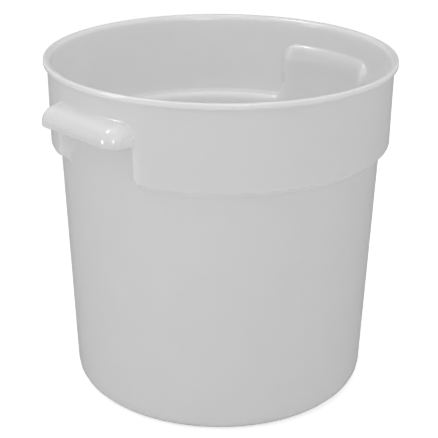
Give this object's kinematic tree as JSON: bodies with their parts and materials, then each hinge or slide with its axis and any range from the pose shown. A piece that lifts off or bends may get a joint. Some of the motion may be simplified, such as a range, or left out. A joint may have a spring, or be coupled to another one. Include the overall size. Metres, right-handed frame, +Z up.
{
  "type": "round food container",
  "caption": "Round open-topped plastic food tub with tapered wall, wider stepped collar, flat lip and a moulded hooded hand grip with finger pocket on each side.",
  "frame": {"origin": "on the container's axis, at the plane that it stands on", "axes": "+Z up out of the mouth, +X through the middle of one hand grip and -X through the other"},
  "size_m": [0.339, 0.315, 0.31],
  "materials": {
    "polyethylene": "satin white moulded polyethylene"
  },
  "bodies": {
    "root": {"floor_panel": "polyethylene", "heel_ring": "polyethylene", "tub_wall": "polyethylene", "collar_front": "polyethylene", "collar_rear": "polyethylene", "grip_left": "polyethylene", "grip_right": "polyethylene", "rim_lip": "polyethylene"}
  },
  "joints": []
}
